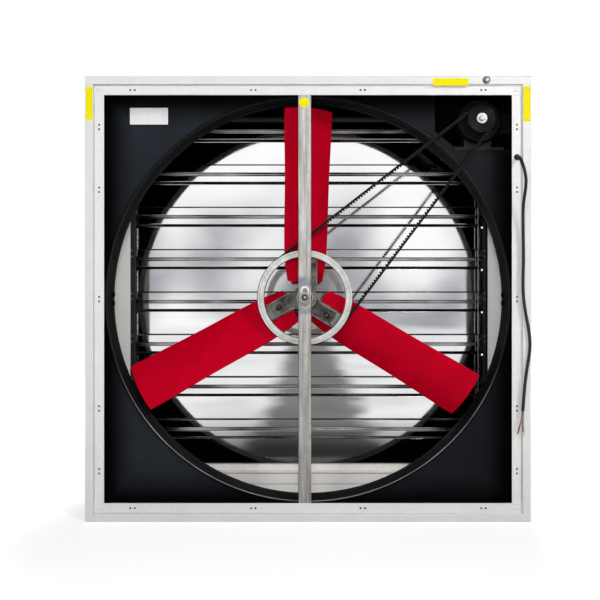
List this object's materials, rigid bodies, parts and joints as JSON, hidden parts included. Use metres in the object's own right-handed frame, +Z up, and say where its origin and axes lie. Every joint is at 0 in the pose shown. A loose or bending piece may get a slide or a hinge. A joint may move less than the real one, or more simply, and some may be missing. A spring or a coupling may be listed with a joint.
{
  "type": "belt-driven square exhaust fan",
  "caption": "Square galvanised belt-driven exhaust fan with red blades in a black venturi, a corner motor and mirror-bright rear louvres that swing together",
  "frame": {"origin": "middle of the casing's base, on the floor", "axes": "+X right and +Z up as seen from the intake side, which faces -Y; air leaves towards +Y"},
  "size_m": [1.38, 0.4635, 1.38],
  "materials": {
    "galvanised": "satin spangled zinc",
    "black_paint": "semi-matt",
    "mirror_steel": "mirror",
    "nylon": "matt",
    "bright_steel": "zinc plated",
    "cast_pulley": "machined casting",
    "red_plastic": "satin gloss",
    "black_rubber": "matt",
    "core_plastic": "satin"
  },
  "bodies": {
    "frame": {"casing_top": "galvanised", "casing_bottom": "galvanised", "casing_left": "galvanised", "casing_right": "galvanised", "front_strip_top": "galvanised", "front_strip_bottom": "galvanised", "front_strip_left": "galvanised", "front_strip_right": "galvanised", "rear_frame_top": "galvanised", "rear_frame_bottom": "galvanised", "rear_frame_left": "galvanised", "rear_frame_right": "galvanised", "sill_stop": "galvanised", "centre_bar": "galvanised", "venturi_panel": "black_paint", "venturi_ring_upper": "black_paint", "venturi_ring_lower": "black_paint", "ring_splices": "black_paint", "motor_housing": "black_paint", "motor_end_shields": "black_paint", "motor_cowl": "black_paint", "motor_terminal_box": "black_paint", "motor_shelf": "black_paint", "strip_rivets": "bright_steel", "frame_bolts": "bright_steel", "axle": "bright_steel", "axle_nuts": "bright_steel", "bearing_inner_races": "bright_steel", "v_belt": "black_rubber", "cord_grommet": "black_rubber", "power_cord": "black_rubber", "cord_cores": "core_plastic"},
    "fan": {"fan_pulley": "cast_pulley", "blade_1": "red_plastic", "blade_2": "red_plastic", "blade_3": "red_plastic", "blade_clamps": "bright_steel", "blade_bolts": "bright_steel", "bearing_outer_races": "bright_steel", "bearing_balls": "bright_steel"},
    "motor_rotor": {"motor_shaft": "bright_steel", "motor_pulley": "black_paint", "motor_pulley_bolt": "bright_steel"},
    "louvre_1_body": {"louvre_1": "mirror_steel", "louvre_pivots_1": "nylon"},
    "louvre_2_body": {"louvre_2": "mirror_steel", "louvre_pivots_2": "nylon"},
    "louvre_3_body": {"louvre_3": "mirror_steel", "louvre_pivots_3": "nylon"},
    "louvre_4_body": {"louvre_4": "mirror_steel", "louvre_pivots_4": "nylon"},
    "louvre_5_body": {"louvre_5": "mirror_steel", "louvre_pivots_5": "nylon"},
    "louvre_6_body": {"louvre_6": "mirror_steel", "louvre_pivots_6": "nylon"},
    "louvre_7_body": {"louvre_7": "mirror_steel", "louvre_pivots_7": "nylon"},
    "louvre_8_body": {"louvre_8": "mirror_steel", "louvre_pivots_8": "nylon"},
    "link_body": {"louvre_link": "galvanised"}
  },
  "joints": [
    {"name": "fan_spin", "type": "hinge", "parent": "frame", "child": "fan", "pos_m": [-0.01, -0.105, 0.695], "axis": [0, 1, 0], "continuous": true},
    {"name": "motor_spin", "type": "hinge", "parent": "frame", "child": "motor_rotor", "pos_m": [0.551, -0.03, 1.263], "axis": [0, 1, 0], "continuous": true},
    {"name": "louvre_1_swing", "type": "hinge", "parent": "frame", "child": "louvre_1_body", "pos_m": [0, 0.1555, 1.304], "axis": [1, 0, 0], "range_deg": [0, 80]},
    {"name": "louvre_2_swing", "type": "hinge", "parent": "frame", "child": "louvre_2_body", "pos_m": [0, 0.1555, 1.1535], "axis": [1, 0, 0], "range_deg": [0, 80]},
    {"name": "louvre_3_swing", "type": "hinge", "parent": "frame", "child": "louvre_3_body", "pos_m": [0, 0.1555, 1.003], "axis": [1, 0, 0], "range_deg": [0, 80]},
    {"name": "louvre_4_swing", "type": "hinge", "parent": "frame", "child": "louvre_4_body", "pos_m": [0, 0.1555, 0.8525], "axis": [1, 0, 0], "range_deg": [0, 80]},
    {"name": "louvre_5_swing", "type": "hinge", "parent": "frame", "child": "louvre_5_body", "pos_m": [0, 0.1555, 0.702], "axis": [1, 0, 0], "range_deg": [0, 80]},
    {"name": "louvre_6_swing", "type": "hinge", "parent": "frame", "child": "louvre_6_body", "pos_m": [0, 0.1555, 0.5515], "axis": [1, 0, 0], "range_deg": [0, 80]},
    {"name": "louvre_7_swing", "type": "hinge", "parent": "frame", "child": "louvre_7_body", "pos_m": [0, 0.1555, 0.401], "axis": [1, 0, 0], "range_deg": [0, 80]},
    {"name": "louvre_8_swing", "type": "hinge", "parent": "frame", "child": "louvre_8_body", "pos_m": [0, 0.1555, 0.2505], "axis": [1, 0, 0], "range_deg": [0, 80]},
    {"name": "link_pivot", "type": "hinge", "parent": "louvre_1_body", "child": "link_body", "pos_m": [0.5995, 0.14094, 1.31621], "axis": [1, 0, 0], "range_deg": [-80, 0]}
  ],
  "couplings": [
    {"joint": "motor_spin", "follows": "fan_spin", "ratio": 3.65},
    {"joint": "louvre_2_swing", "follows": "louvre_1_swing", "ratio": 1},
    {"joint": "louvre_3_swing", "follows": "louvre_1_swing", "ratio": 1},
    {"joint": "louvre_4_swing", "follows": "louvre_1_swing", "ratio": 1},
    {"joint": "louvre_5_swing", "follows": "louvre_1_swing", "ratio": 1},
    {"joint": "louvre_6_swing", "follows": "louvre_1_swing", "ratio": 1},
    {"joint": "louvre_7_swing", "follows": "louvre_1_swing", "ratio": 1},
    {"joint": "louvre_8_swing", "follows": "louvre_1_swing", "ratio": 1},
    {"joint": "link_pivot", "follows": "louvre_1_swing", "ratio": -1}
  ]
}
